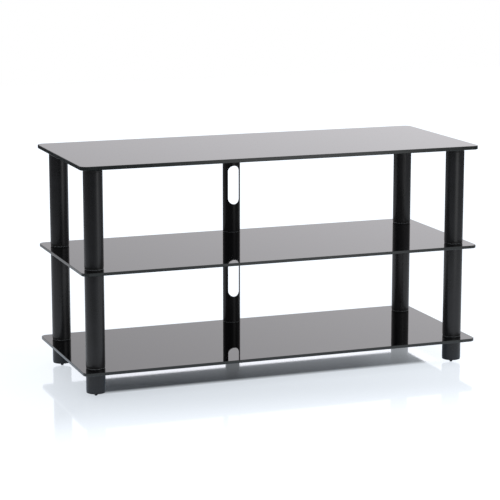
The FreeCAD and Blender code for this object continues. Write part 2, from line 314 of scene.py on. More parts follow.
low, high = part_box("levelling_screw_front_left")
collar_low = low.z + PIN_L
collar_high = collar_low + COLLAR_T
screw = hexagon(collar_low, collar_high)
pin = round_bar(PIN_R, low.z, collar_low + ROOTED)
pick(pin, "EDGE", lambda middle, along: middle.z < low.z + ROOTED and abs(along.z) < LEVEL)
bpy.ops.mesh.bevel(offset=PIN_ROUND, segments=2)
shape_with(screw, pin, "UNION")
shape_with(screw, threaded_rod(collar_high - ROOTED, high.z, tip=high.z), "UNION")
for spot in PLACES:
    low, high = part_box(f"levelling_screw_{spot}")
    middle = (low + high) / 2
    turned = copy_to(screw, (middle.x, middle.y, 0))
    settle(turned, f"{spot}_threaded_foot", f"{spot}_screw", "levelling_screw", black_zinc,
           f"levelling_screw_{spot}")
bpy.data.objects.remove(screw)


# Tube plugs: both ends of every post tube are closed by a black nylon plug, pressed in on three sealing fins.
# Its flange shows as a narrow dark band, a little smaller than the tube, with a rounded edge at the glass.
CORNERS = PLACES[:4]
STAGES = ("foot", "lower", "upper")
FLANGE_T = 4.0 * MM
FLANGE_ROUND = 0.8 * MM
END_STEP = 0.5 * MM
FIN_COUNT = 3
FIN_T = 2.0 * MM
FIN_DEEP = 3.0 * MM
SPIGOT_L = 14.0 * MM
TUBE_WALL = 1.5 * MM
FIT_GAP = 0.05 * MM
INSERT_R = 6.0 * MM
SAME_PLACE = 0.001 * MM         # points closer than this count as one


def open_through(piece, radius):
    """Opens a round hole of that radius up through a piece whose two end faces lie on the origin's axis."""
    heights = [corner.co.z for corner in piece.data.vertices]
    for end in (min(heights), max(heights)):
        pick(piece, "FACE", lambda middle, normal: abs(middle.z - end) < SAME_PLACE
             and abs(normal.z) > UPRIGHT)
        face_r = max(corner.co.xy.length for corner in piece.data.vertices
                     if abs(corner.co.z - end) < SAME_PLACE)
        bpy.ops.mesh.inset(thickness=face_r - radius)
    pick(piece, "FACE", lambda middle, normal: middle.xy.length < SAME_PLACE and abs(normal.z) > UPRIGHT)
    bpy.ops.mesh.bridge_edge_loops()


def end_plug(tube_r):
    """A plug standing on its outer face at the origin: flange, fins on a core, and the insert's bore."""
    flange_r = tube_r - END_STEP
    fin_r = tube_r - TUBE_WALL - FIT_GAP
    core_r = fin_r - FIN_DEEP
    plug = round_bar(flange_r, 0, FLANGE_T)
    pick(plug, "EDGE", lambda middle, along: middle.z < FLANGE_T / 4)
    bpy.ops.mesh.bevel(offset=FLANGE_ROUND, segments=3)
    pick(plug, "FACE", lambda middle, normal: normal.z > UPRIGHT)
    bpy.ops.mesh.inset(thickness=flange_r - fin_r)
    for fin in range(FIN_COUNT):
        if fin:
            bpy.ops.mesh.extrude_region_move(TRANSFORM_OT_translate={"value": (0, 0, 0)})
            bpy.ops.transform.resize(value=(fin_r / core_r, fin_r / core_r, 1), center_override=(0, 0, 0),
                                     constraint_axis=(True, True, False))
        bpy.ops.mesh.extrude_region_move(TRANSFORM_OT_translate={"value": (0, 0, FIN_T)})
        bpy.ops.mesh.inset(thickness=FIN_DEEP)
        root = SPIGOT_L / FIN_COUNT - FIN_T
        bpy.ops.mesh.extrude_region_move(TRANSFORM_OT_translate={"value": (0, 0, root)})
    hold(plug)
    open_through(plug, INSERT_R + FIT_GAP)
    return plug


post_axis = {}
for corner in CORNERS:
    low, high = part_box(f"foot_tube_{corner}")
    post_axis[corner] = (low + high) / 2
low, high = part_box("foot_tube_front_left")
tube_r = (high.x - low.x) / 2
plug = end_plug(tube_r)
for stage in STAGES:
    low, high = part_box(f"{stage}_tube_front_left")
    ends = []
    for axis in post_axis.values():
        ends.append(copy_to(plug, (axis.x, axis.y, low.z - FLANGE_T)))
        ends.append(copy_to(plug, (axis.x, axis.y, high.z + FLANGE_T), upside_down=True))
    hold(*ends)
    bpy.ops.object.join()
    settle(bpy.context.object, f"{stage}_end_plugs", "rack", "plug", moulded_nylon, f"{stage}_tube_plugs")
bpy.data.objects.remove(plug)


# Threaded inserts: brass nuts moulded into the plugs, 24 in the posts, turned from bar and knurled outside.
# They are hidden but for a ring at the foot, so the CAD pieces stay and only take their finish here.
BRASS_TONES = ((0.35, "#94763c"), (0.65, "#b5924c"))
BRASS_ROUGHNESS = (0.24, 0.40)
BRASS_CLOUD = 3.0 * MM
KNURL = 0.8 * MM
KNURL_RELIEF = 0.1 * MM

# Turned brass: a warm metal, duller in patches where it has been handled, with a diagonal knurl, whose bands
# cross each axis at half the rate of upright or level ones.
turned_brass, tree, place = start_finish("turned and knurled brass")
cloud = add_node(tree, "TexNoise", {"Vector": place, "Scale": 1 / BRASS_CLOUD, "Detail": 3.0})
tone = add_node(tree, "ValToRGB", {"Fac": cloud.outputs["Fac"]}, BRASS_TONES)
knurl = add_node(tree, "TexWave", {
    "Vector": place, "Scale": 2 * WAVE_PERIOD / KNURL}, bands_direction="DIAGONAL")
sheen = add_node(tree, "MapRange", {
    "Value": cloud.outputs["Fac"], "To Min": BRASS_ROUGHNESS[0], "To Max": BRASS_ROUGHNESS[1]})
relief = add_node(tree, "Bump", {"Height": knurl.outputs["Fac"], "Strength": 0.3, "Distance": KNURL_RELIEF})
shader = add_node(tree, "BsdfPrincipled", {
    "Base Color": tone.outputs["Color"], "Roughness": sheen.outputs["Result"],
    "Normal": relief.outputs["Normal"], "Metallic": 1.0})
add_node(tree, "OutputMaterial", {"Surface": shader.outputs["BSDF"]})


def finish_node(name, finish):
    """Gives a CAD piece that stays in view its finish."""
    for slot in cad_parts[name].material_slots:
        slot.material = finish


for name in ("plug_inserts", "column_foot_inserts"):
    finish_node(name, turned_brass)


# Post tubes: twelve lengths of 50 mm steel tube, three stages at each corner, cut square and deburred.
# They are powder coated satin black, and clamped end to end through the glass by the studs inside them.
POST_SIDES = 128
RIM_ROUND = 0.4 * MM
RADIAL = 0.5                    # an edge with less than this along the radius runs round the rim
COAT_TONES = ((0.35, "#101113"), (0.65, "#16171a"))
COAT_ROUGHNESS = (0.25, 0.31)
COAT_IOR = 1.5
COAT_CLOUD = 45.0 * MM
ORANGE_PEEL = 2.4 * MM
PEEL_RELIEF = 0.05 * MM


def tube(low, high, wall):
    """A tube standing in a box's place, with both rims eased inside and out."""
    radius = (high.x - low.x) / 2
    half = (high.z - low.z) / 2
    pipe = round_bar(radius, -half, half, sides=POST_SIDES)
    open_through(pipe, radius - wall)
    pick(pipe, "EDGE", lambda middle, along: half - abs(middle.z) < RIM_ROUND / 4
         and abs(along.xy.normalized() @ middle.xy.normalized()) < RADIAL)
    bpy.ops.mesh.bevel(offset=RIM_ROUND, segments=3)
    hold(pipe)
    pipe.location = (low + high) / 2
    return pipe


# Powder coat: a satin black film with the slight orange peel of a baked powder, drawn twice its real size
# so that it shows, and a little unevenness in the sheen along the tube.
powder_coat, tree, place = start_finish("satin black powder coat")
peel = add_node(tree, "TexNoise", {
    "Vector": place, "Scale": 1 / ORANGE_PEEL, "Detail": 2.0, "Roughness": 0.4})
cloud = add_node(tree, "TexNoise", {"Vector": place, "Scale": 1 / COAT_CLOUD, "Detail": 3.0})
tone = add_node(tree, "ValToRGB", {"Fac": cloud.outputs["Fac"]}, COAT_TONES)
sheen = add_node(tree, "MapRange", {
    "Value": cloud.outputs["Fac"], "To Min": COAT_ROUGHNESS[0], "To Max": COAT_ROUGHNESS[1]})
relief = add_node(tree, "Bump", {"Height": peel.outputs["Fac"], "Strength": 0.15, "Distance": PEEL_RELIEF})
shader = add_node(tree, "BsdfPrincipled", {
    "Base Color": tone.outputs["Color"], "Roughness": sheen.outputs["Result"],
    "Normal": relief.outputs["Normal"], "IOR": COAT_IOR})
add_node(tree, "OutputMaterial", {"Surface": shader.outputs["BSDF"]})

for stage in STAGES:
    low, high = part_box(f"{stage}_tube_front_left")
    pipe = tube(low, high, TUBE_WALL)
    for corner in CORNERS:
        axis = post_axis[corner]
        post = copy_to(pipe, (axis.x, axis.y, pipe.location.z))
        settle(post, f"{corner}_{stage}_post", "rack", "post_tube", powder_coat, f"{stage}_tube_{corner}")
    bpy.data.objects.remove(pipe)


# Gaskets: soft smoked vinyl rings, punched from 1 mm sheet, between the plugs and both faces of the two
# drilled shelves. Each shows as a thin grey line where a post meets the glass.
DRILLED_SHELVES = ("bottom_shelf", "middle_shelf")
GASKET_ROUND = 0.3 * MM
BOLT_HOLE_R = 4.4 * MM
VINYL_TONES = ((0.35, "#505357"), (0.65, "#63666a"))
VINYL_ROUGHNESS = (0.22, 0.34)
VINYL_IOR = 1.53
VINYL_CLOUD = 6.0 * MM
LIGHT_DEPTH = 1.0 * MM          # light's reach into a plastic, before the shader's own scale of 0.05

# Smoked vinyl: mid grey where light gathers in the edge, a little darker in places, softly glossy.
smoked_vinyl, tree, place = start_finish("smoked vinyl sheet")
cloud = add_node(tree, "TexNoise", {"Vector": place, "Scale": 1 / VINYL_CLOUD, "Detail": 3.0})
tone = add_node(tree, "ValToRGB", {"Fac": cloud.outputs["Fac"]}, VINYL_TONES)
sheen = add_node(tree, "MapRange", {
    "Value": cloud.outputs["Fac"], "To Min": VINYL_ROUGHNESS[0], "To Max": VINYL_ROUGHNESS[1]})
shader = add_node(tree, "BsdfPrincipled", {
    "Base Color": tone.outputs["Color"], "Roughness": sheen.outputs["Result"], "IOR": VINYL_IOR,
    "Subsurface Weight": 0.2, "Subsurface Radius": 3 * [LIGHT_DEPTH]})
add_node(tree, "OutputMaterial", {"Surface": shader.outputs["BSDF"]})


def gasket(radius, thick):
    """A punched ring lying on the origin, with soft edges."""
    washer = round_bar(radius, 0, thick, sides=POST_SIDES)
    pick(washer, "EDGE", lambda middle, along: abs(along.z) < LEVEL)
    bpy.ops.mesh.bevel(offset=GASKET_ROUND, segments=2)
    hold(washer)
    open_through(washer, BOLT_HOLE_R)
    return washer


for shelf in DRILLED_SHELVES:
    low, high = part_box(f"{shelf}_gaskets")
    glass_low, glass_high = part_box(shelf)
    soft = gasket(tube_r - END_STEP, high.z - glass_high.z)
    rings = []
    for axis in post_axis.values():
        for bed in (low.z, glass_high.z):
            rings.append(copy_to(soft, (axis.x, axis.y, bed)))
    hold(*rings)
    bpy.ops.object.join()
    settle(bpy.context.object, f"{shelf}_soft_rings", "rack", "gasket", smoked_vinyl, f"{shelf}_gaskets")
    bpy.data.objects.remove(soft)


# Glass shelves: three sheets of black tempered glass with rounded corners, the top one thicker. The edges
# are ground, polished and bevelled to an arris, and the underside is lacquered. The lower two are drilled
# for the studs, the top one is bonded on.
CORNER_R = 18.0 * MM
CORNER_SEGMENTS = 20
ARRIS = 0.8 * MM
GLASS_HOLE_R = 6.0 * MM
HOLE_SIDES = 48
GLASS_TONES = ((0.3, "#040405"), (0.7, "#060708"))
GLASS_ROUGHNESS = (0.010, 0.045)
GLASS_IOR = 1.52
HANDLING = 140.0 * MM
EDGE_TONES = ((0.3, "#1a1d1e"), (0.7, "#242929"))
EDGE_ROUGHNESS = (0.10, 0.22)
GRINDING = 1.6 * MM
GRINDING_RELIEF = 0.05 * MM
LACQUER_TONES = ((0.3, "#08080a"), (0.7, "#0e0e10"))
LACQUER_ROUGHNESS = (0.55, 0.70)
LACQUER_IOR = 1.5
SPRAY_GRAIN = 1.5 * MM
SPRAY_RELIEF = 0.05 * MM

# Black glass: almost no colour of its own, only the white room mirrored in it, more at a flat angle.
# Its polish varies very little, where it has been wiped.
black_glass, tree, place = start_finish("black tempered glass")
wiped = add_node(tree, "TexNoise", {
    "Vector": place, "Scale": 1 / HANDLING, "Detail": 4.0, "Distortion": 0.8})
tone = add_node(tree, "ValToRGB", {"Fac": wiped.outputs["Fac"]}, GLASS_TONES)
sheen = add_node(tree, "MapRange", {
    "Value": wiped.outputs["Fac"], "To Min": GLASS_ROUGHNESS[0], "To Max": GLASS_ROUGHNESS[1]})
shader = add_node(tree, "BsdfPrincipled", {
    "Base Color": tone.outputs["Color"], "Roughness": sheen.outputs["Result"], "IOR": GLASS_IOR})
add_node(tree, "OutputMaterial", {"Surface": shader.outputs["BSDF"]})

# Polished edge: the same glass, a little paler, duller and greener, with the fine grain of the grinding belt.
glass_edge, tree, place = start_finish("ground and polished glass edge")
belt = add_node(tree, "TexNoise", {"Vector": place, "Scale": 1 / GRINDING, "Detail": 3.0})
tone = add_node(tree, "ValToRGB", {"Fac": belt.outputs["Fac"]}, EDGE_TONES)
sheen = add_node(tree, "MapRange", {
    "Value": belt.outputs["Fac"], "To Min": EDGE_ROUGHNESS[0], "To Max": EDGE_ROUGHNESS[1]})
relief = add_node(tree, "Bump", {
    "Height": belt.outputs["Fac"], "Strength": 0.08, "Distance": GRINDING_RELIEF})
shader = add_node(tree, "BsdfPrincipled", {
    "Base Color": tone.outputs["Color"], "Roughness": sheen.outputs["Result"],
    "Normal": relief.outputs["Normal"], "IOR": GLASS_IOR})
add_node(tree, "OutputMaterial", {"Surface": shader.outputs["BSDF"]})

# Backing lacquer: sprayed on the underside and baked, a dull black with a fine grain that mirrors almost
# nothing.
backing, tree, place = start_finish("black backing lacquer")
grain = add_node(tree, "TexNoise", {"Vector": place, "Scale": 1 / SPRAY_GRAIN, "Detail": 3.0})
tone = add_node(tree, "ValToRGB", {"Fac": grain.outputs["Fac"]}, LACQUER_TONES)
sheen = add_node(tree, "MapRange", {
    "Value": grain.outputs["Fac"], "To Min": LACQUER_ROUGHNESS[0], "To Max": LACQUER_ROUGHNESS[1]})
relief = add_node(tree, "Bump", {"Height": grain.outputs["Fac"], "Strength": 0.15, "Distance": SPRAY_RELIEF})
shader = add_node(tree, "BsdfPrincipled", {
    "Base Color": tone.outputs["Color"], "Roughness": sheen.outputs["Result"],
    "Normal": relief.outputs["Normal"], "IOR": LACQUER_IOR, "Specular IOR Level": 0.3})
add_node(tree, "OutputMaterial", {"Surface": shader.outputs["BSDF"]})

low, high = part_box("column_nut")
column_axis = (low + high) / 2
for shelf in (*DRILLED_SHELVES, "top_shelf"):
    low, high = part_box(shelf)
    size = high - low
    hold()
    bpy.ops.mesh.primitive_cube_add(size=1, location=(low + high) / 2, scale=size)
    glass = bpy.context.object
    bpy.ops.object.transform_apply(location=True, rotation=True, scale=True)
    pick(glass, "EDGE", lambda middle, along: abs(along.z) > UPRIGHT)
    bpy.ops.mesh.bevel(offset=CORNER_R, segments=CORNER_SEGMENTS)
    pick(glass, "EDGE", lambda middle, along: abs(along.z) < LEVEL)
    bpy.ops.mesh.bevel(offset=ARRIS, segments=1)
    if shelf in DRILLED_SHELVES:
        for axis in [*post_axis.values(), column_axis]:
            drill = round_bar(GLASS_HOLE_R, low.z - ROOTED, high.z + ROOTED, sides=HOLE_SIDES)
            drill.location = (axis.x, axis.y, 0)
            shape_with(glass, drill, "DIFFERENCE")
    settle(glass, f"{shelf}_glass", "rack", "black_glass", black_glass, shelf)
    glass.data.materials.append(glass_edge)
    glass.data.materials.append(backing)
    for face in glass.data.polygons:
        if face.normal.z < -UPRIGHT:
            face.material_index = glass.data.materials.find(backing.name)
        elif face.normal.z < UPRIGHT:
            face.material_index = glass.data.materials.find(glass_edge.name)


# Sleeves: thin natural nylon tubes pushed into the ten holes in the glass, so that steel never touches it.
# They are hidden under the gaskets, so the CAD pieces stay and only take their finish here.
NATURAL_TONES = ((0.3, "#c9c2ad"), (0.7, "#d8d2c0"))
NATURAL_ROUGHNESS = (0.36, 0.48)

# Natural nylon: milky cream, slightly uneven, with a waxy sheen.
natural_nylon, tree, place = start_finish("natural nylon")
cloud = add_node(tree, "TexNoise", {"Vector": place, "Scale": 1 / NYLON_CLOUD, "Detail": 2.0})
tone = add_node(tree, "ValToRGB", {"Fac": cloud.outputs["Fac"]}, NATURAL_TONES)
sheen = add_node(tree, "MapRange", {
    "Value": cloud.outputs["Fac"], "To Min": NATURAL_ROUGHNESS[0], "To Max": NATURAL_ROUGHNESS[1]})
shader = add_node(tree, "BsdfPrincipled", {
    "Base Color": tone.outputs["Color"], "Roughness": sheen.outputs["Result"], "IOR": NYLON_IOR,
    "Subsurface Weight": 0.3, "Subsurface Radius": 3 * [LIGHT_DEPTH]})
add_node(tree, "OutputMaterial", {"Surface": shader.outputs["BSDF"]})
for shelf in DRILLED_SHELVES:
    finish_node(f"{shelf}_sleeves", natural_nylon)


# Studs: twelve lengths of M8 threaded rod, bright zinc plated, that hold the posts together through the
# glass and under the bonded discs. They are hidden, so the CAD pieces stay and only take their finish here.
ZINC_TONES = ((0.35, "#a6acb4"), (0.65, "#bcc0c4"))
ZINC_ROUGHNESS = (0.22, 0.38)
ZINC_SPANGLE = 2.0 * MM

# Bright zinc: a pale metal with a faint blue cast, in small patches of slightly different sheen.
bright_zinc, tree, place = start_finish("bright zinc plated steel")
spangle = add_node(tree, "TexVoronoi", {"Vector": place, "Scale": 1 / ZINC_SPANGLE})
cloud = add_node(tree, "TexNoise", {"Vector": place, "Scale": 1 / ZINC_CLOUD, "Detail": 3.0})
tone = add_node(tree, "ValToRGB", {"Fac": cloud.outputs["Fac"]}, ZINC_TONES)
sheen = add_node(tree, "MapRange", {
    "Value": spangle.outputs["Distance"], "To Min": ZINC_ROUGHNESS[0], "To Max": ZINC_ROUGHNESS[1]})
shader = add_node(tree, "BsdfPrincipled", {
    "Base Color": tone.outputs["Color"], "Roughness": sheen.outputs["Result"], "Metallic": 1.0})
add_node(tree, "OutputMaterial", {"Surface": shader.outputs["BSDF"]})
for name in ("bottom_shelf_studs", "middle_shelf_studs", "top_studs"):
    finish_node(name, bright_zinc)


# Bonded plates: four round discs at the posts and one half-round plate at the cable column, glued under the
# top shelf. They are turned from aluminium and anodised black, and take the top ends of the studs and a bolt.
TAPPED_R = 4.05 * MM
BOND_SKIN = 1.0 * MM
ANODISE_TONES = ((0.3, "#1b1c1f"), (0.7, "#232428"))
ANODISE_ROUGHNESS = (0.30, 0.40)
ANODISE_METAL = 0.6
LATHE_LINES = 0.9 * MM
LATHE_RELIEF = 0.03 * MM

# Black anodised aluminium: a deep satin grey-black that still shines like metal, with fine lathe lines.
anodised, tree, place = start_finish("black anodised aluminium")
lines = add_node(tree, "TexWave", {
    "Vector": place, "Scale": WAVE_PERIOD / LATHE_LINES, "Distortion": 0.4, "Detail": 2.0},
    bands_direction="Z")
cloud = add_node(tree, "TexNoise", {"Vector": place, "Scale": 1 / NYLON_CLOUD, "Detail": 2.0})
tone = add_node(tree, "ValToRGB", {"Fac": cloud.outputs["Fac"]}, ANODISE_TONES)
sheen = add_node(tree, "MapRange", {
    "Value": cloud.outputs["Fac"], "To Min": ANODISE_ROUGHNESS[0], "To Max": ANODISE_ROUGHNESS[1]})
relief = add_node(tree, "Bump", {"Height": lines.outputs["Fac"], "Strength": 0.1, "Distance": LATHE_RELIEF})
shader = add_node(tree, "BsdfPrincipled", {
    "Base Color": tone.outputs["Color"], "Roughness": sheen.outputs["Result"],
    "Normal": relief.outputs["Normal"], "Metallic": ANODISE_METAL})
add_node(tree, "OutputMaterial", {"Surface": shader.outputs["BSDF"]})


def keep_front(piece):
    """Cuts a round piece on the origin's axis down to its front half, with a flat closed back."""
    pick(piece, "FACE", lambda middle, normal: True)
    bpy.ops.mesh.bisect(plane_co=(0, 0, 0), plane_no=(0, 1, 0), use_fill=True, clear_outer=True)
    hold(piece)


low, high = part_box("post_bond_discs")
disc = round_bar(tube_r - END_STEP, low.z, high.z, sides=POST_SIDES)
pick(disc, "EDGE", lambda middle, along: middle.z < low.z + ROOTED and abs(along.z) < LEVEL)
bpy.ops.mesh.bevel(offset=FLANGE_ROUND, segments=3)
pick(disc, "FACE", lambda middle, normal: normal.z < -FLAT)
bpy.ops.mesh.inset(thickness=tube_r - END_STEP - FLANGE_ROUND - TAPPED_R)
bpy.ops.mesh.extrude_region_move(TRANSFORM_OT_translate={"value": (0, 0, high.z - low.z - BOND_SKIN)})
discs = [copy_to(disc, (axis.x, axis.y, 0)) for axis in post_axis.values()]
hold(*discs)
bpy.ops.object.join()
settle(bpy.context.object, "glued_post_discs", "rack", "bond_plate", anodised, "post_bond_discs")
bpy.data.objects.remove(disc)

low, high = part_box("column_bond_plate")
half_disc = round_bar((high.x - low.x) / 2, low.z, high.z, sides=POST_SIDES)
keep_front(half_disc)
pick(half_disc, "EDGE", lambda middle, along: middle.z < low.z + ROOTED and abs(along.z) < LEVEL)
bpy.ops.mesh.bevel(offset=FLANGE_ROUND, segments=3)
hold(half_disc)
tapping = round_bar(TAPPED_R, low.z - ROOTED, high.z - BOND_SKIN, sides=HOLE_SIDES)
tapping.location = (0, column_axis.y - high.y, 0)
shape_with(half_disc, tapping, "DIFFERENCE")
half_disc.location = (0, high.y, 0)
settle(half_disc, "glued_column_plate", "rack", "bond_plate", anodised, "column_bond_plate")


# Cable channels: two half-round lengths of 1.5 mm steel sheet, open at the back, with a long round-ended slot
# through the front for cables. A half-round plate is welded into each end for a bolt, and all of it is powder
# coated, in a thinner film than the posts, which is a deeper black.
CHANNELS = ("lower", "upper")
CHANNEL_SIDES = 160
SLOT_W = 32.0 * MM
SLOT_L = 108.0 * MM
SLOT_DROP = 67.0 * MM
SLOT_END_ROUND = 0.4999 * SLOT_W    # a hair under half, so that the two rounds of an end stay apart
SLOT_SEGMENTS = 24
END_PLATE_T = 2.0 * MM
SHEET_EASE = 0.35 * MM
EASED_ABOVE = math.radians(50)
THIN_COAT_TONES = ((0.35, "#0c0c0e"), (0.65, "#111113"))
THIN_COAT_ROUGHNESS = (0.22, 0.28)
THIN_COAT_GRAIN = 1.2 * MM
THIN_COAT_RELIEF = 0.03 * MM

# Thin powder coat: a deep black that mirrors little when seen straight on and shines at a flat angle, with a
# fine grain and slight clouds in its sheen.
thin_coat, tree, place = start_finish("thin black powder coat")
grain = add_node(tree, "TexNoise", {"Vector": place, "Scale": 1 / THIN_COAT_GRAIN, "Detail": 2.0})
cloud = add_node(tree, "TexNoise", {"Vector": place, "Scale": 1 / COAT_CLOUD, "Detail": 3.0})
tone = add_node(tree, "ValToRGB", {"Fac": cloud.outputs["Fac"]}, THIN_COAT_TONES)
sheen = add_node(tree, "MapRange", {
    "Value": cloud.outputs["Fac"], "To Min": THIN_COAT_ROUGHNESS[0], "To Max": THIN_COAT_ROUGHNESS[1]})
relief = add_node(tree, "Bump", {
    "Height": grain.outputs["Fac"], "Strength": 0.1, "Distance": THIN_COAT_RELIEF})
shader = add_node(tree, "BsdfPrincipled", {
    "Base Color": tone.outputs["Color"], "Roughness": sheen.outputs["Result"],
    "Normal": relief.outputs["Normal"], "IOR": COAT_IOR, "Specular IOR Level": 0.3})
add_node(tree, "OutputMaterial", {"Surface": shader.outputs["BSDF"]})

for stage in CHANNELS:
    low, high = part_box(f"{stage}_cable_channel")
    radius = (high.x - low.x) / 2
    half = (high.z - low.z) / 2
    sheet = round_bar(radius, -half, half, sides=CHANNEL_SIDES)
    hollow = round_bar(radius - TUBE_WALL, END_PLATE_T - half, half - END_PLATE_T, sides=CHANNEL_SIDES)
    shape_with(sheet, hollow, "DIFFERENCE")
    keep_front(sheet)
    hold()
    slot_at = (0, -radius, half - SLOT_DROP - SLOT_L / 2)
    bpy.ops.mesh.primitive_cube_add(size=1, location=slot_at, scale=(SLOT_W, 2 * radius, SLOT_L))
    slot = bpy.context.object
    bpy.ops.object.transform_apply(location=True, rotation=True, scale=True)
    pick(slot, "EDGE", lambda middle, along: abs(along.y) > abs(along.x) + abs(along.z))
    bpy.ops.mesh.bevel(offset=SLOT_END_ROUND, segments=SLOT_SEGMENTS)
    hold(slot)
    shape_with(sheet, slot, "DIFFERENCE")
    drill = round_bar(BOLT_HOLE_R, -half - ROOTED, half + ROOTED, sides=HOLE_SIDES)
    drill.location = (0, column_axis.y - high.y, 0)
    shape_with(sheet, drill, "DIFFERENCE")
    ease = sheet.modifiers.new("eased edges", "BEVEL")
    ease.width = SHEET_EASE
    ease.segments = 2
    ease.limit_method = "ANGLE"
    ease.angle_limit = EASED_ABOVE
    hold(sheet)
    bpy.ops.object.modifier_apply(modifier=ease.name)
    sheet.location = (0, high.y, (low.z + high.z) / 2)
    settle(sheet, f"{stage}_cable_cover", "rack", "channel", thin_coat, f"{stage}_cable_channel")


# Column gaskets: vinyl again, three half rounds between the channels and the glass, and one round ring
# between the bottom shelf and the column's foot. All are punched from the same sheet as the posts' rings.
glass_faces = {shelf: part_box(shelf) for shelf in DRILLED_SHELVES}
low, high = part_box("column_gaskets")
thick = glass_faces["bottom_shelf"][0].z - low.z
pads = []
plate_low, plate_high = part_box("column_bond_plate")
for bed in (glass_faces["middle_shelf"][1].z, glass_faces["middle_shelf"][0].z - thick,
            glass_faces["bottom_shelf"][1].z):
    pad = round_bar((plate_high.x - plate_low.x) / 2, 0, thick, sides=POST_SIDES)
    keep_front(pad)
    pick(pad, "EDGE", lambda middle, along: abs(along.z) < LEVEL)
    bpy.ops.mesh.bevel(offset=GASKET_ROUND, segments=2)
    hold(pad)
    punch = round_bar(BOLT_HOLE_R, -ROOTED, thick + ROOTED, sides=HOLE_SIDES)
    punch.location = (0, column_axis.y - plate_high.y, 0)
    shape_with(pad, punch, "DIFFERENCE")
    pad.location = (0, plate_high.y, bed)
    pads.append(pad)
foot_low, foot_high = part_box("column_foot_tube")
foot_r = (foot_high.x - foot_low.x) / 2
ring = gasket(foot_r - END_STEP, thick)
hold(ring)
ring.location = (column_axis.x, column_axis.y, low.z)
hold(*pads, ring)
bpy.ops.object.join()
settle(bpy.context.object, "column_soft_pads", "rack", "gasket", smoked_vinyl, "column_gaskets")


# Column foot: a short 40 mm tube under the cable column, powder coated, with the same kind of nylon plugs
# as the posts. It hangs on the lowest bolt of the column and carries the fifth levelling screw.
foot = tube(foot_low, foot_high, TUBE_WALL)
settle(foot, "column_foot_post", "rack", "post_tube", powder_coat, "column_foot_tube")
plug = end_plug(foot_r)
plug.location = (column_axis.x, column_axis.y, foot_low.z - FLANGE_T)
upper_plug = copy_to(plug, (column_axis.x, column_axis.y, foot_high.z + FLANGE_T), upside_down=True)
hold(plug, upper_plug)
bpy.ops.object.join()
settle(bpy.context.object, "column_end_plugs", "rack", "plug", moulded_nylon, "column_foot_plugs")


# Column fasteners: three M8 hex bolts with flat washers, and a nut, all bright zinc plated.
# They are reached from the open back: one goes up into the bonded plate, one through the middle shelf
# into the nut, and one down into the column's foot.
HEAD_T = 5.3 * MM
NUT_SPARE = 2.0 * MM
WASHER_R = 8.0 * MM
WASHER_T = 1.6 * MM
WASHER_ROUND = 0.25 * MM
bolts = []
seats = {}
for stage in CHANNELS:
    low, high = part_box(f"{stage}_cable_channel")
    seats[stage] = (low.z + END_PLATE_T + WASHER_T, high.z - END_PLATE_T - WASHER_T)
bolt_low, bolt_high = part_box("column_bolts")
nut_low, nut_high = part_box("column_nut")
# Each bolt as the seat of its head, the end of its shank, and the way that it points
for seat, end, way in ((seats["upper"][1], bolt_high.z, 1),
                       (seats["upper"][0], nut_low.z - NUT_SPARE, -1),
                       (seats["lower"][0], bolt_low.z, -1)):
    head = hexagon(min(seat, seat - way * HEAD_T), max(seat, seat - way * HEAD_T))
    rooted = seat - way * ROOTED
    shape_with(head, threaded_rod(min(rooted, end), max(rooted, end), tip=end), "UNION")
    head.location = (column_axis.x, column_axis.y, 0)
    bolts.append(head)
hold(*bolts)
bpy.ops.object.join()
settle(bpy.context.object, "column_hex_bolts", "rack", "zinc_steel", bright_zinc, "column_bolts")

nut = hexagon(nut_low.z, nut_high.z)
tapping = round_bar(TAPPED_R, nut_low.z - ROOTED, nut_high.z + ROOTED, sides=HOLE_SIDES)
shape_with(nut, tapping, "DIFFERENCE")
nut.location = (column_axis.x, column_axis.y, 0)
settle(nut, "column_hex_nut", "rack", "zinc_steel", bright_zinc, "column_nut")

washer = round_bar(WASHER_R, 0, WASHER_T)
pick(washer, "EDGE", lambda middle, along: abs(along.z) < LEVEL)
bpy.ops.mesh.bevel(offset=WASHER_ROUND, segments=2)
hold(washer)
open_through(washer, BOLT_HOLE_R)
beds = (seats["upper"][1], seats["upper"][0] - WASHER_T, seats["lower"][1], seats["lower"][0] - WASHER_T)
washers = [copy_to(washer, (column_axis.x, column_axis.y, bed)) for bed in beds]
hold(*washers)
bpy.ops.object.join()
settle(bpy.context.object, "column_flat_washers", "rack", "zinc_steel", bright_zinc, "column_washers")
bpy.data.objects.remove(washer)


# Floor: a plain white studio floor with a faint blue cast, evenly bright by its own glow and lightly shaded.
# It is polished nearly to a mirror under the rack, so that its real reflection of the dark underside of the
# bottom shelf there is a painted shade under the shelf, and the polish lessens away from it. As the black
# posts mirror it, it has a painted shade and a faint painted glow: pale round the rack, and dim far away and
# in front of its left half, where the camera stands.
FLOOR_SIZE = 14.0
FLOOR_WHITE = "#eef4fb"
FLOOR_GLOW = 1.0
FLOOR_SHADED = 0.28
FLOOR_REACH = 2.8
# painted shade of the floor as mirrored: pale round the rack, darker far away
MIRRORED_FLOOR_SHADE = ((0.0, "#d4e2f2"), (0.10, "#d6d9de"), (0.86, "#8e9094"), (1.0, "#333436"))
# painted light: a faint glow of the floor as mirrored, though it is no lamp
MIRRORED_GLOW = 0.28
# painted shade: the mirrored floor is dimmer in front of the rack's left half, where the camera stands
CAMERA_DIM = 0.5
DIM_BEFORE = (-0.85, -0.35)
DIM_LEFT_OF = (-0.90, -0.10)
POLISHED_X = 0.48
POLISHED_FRONT = -0.15
POLISHED_BACK = 0.20
POLISH_EDGE = 0.04
# painted shade: near-mirror polish under the rack, which mirrors the shelf's dark underside in place of its
# shadow
POLISH_UNDER = 0.68
POLISH_LEFT = 0.33
POLISH_RIGHT = 0.20
POLISH_MOST = 0.965
POLISH_REACH = 0.56
POLISH_BLUR = 0.06
FADE_LEFT = 0.0
FADE_RIGHT = 0.20
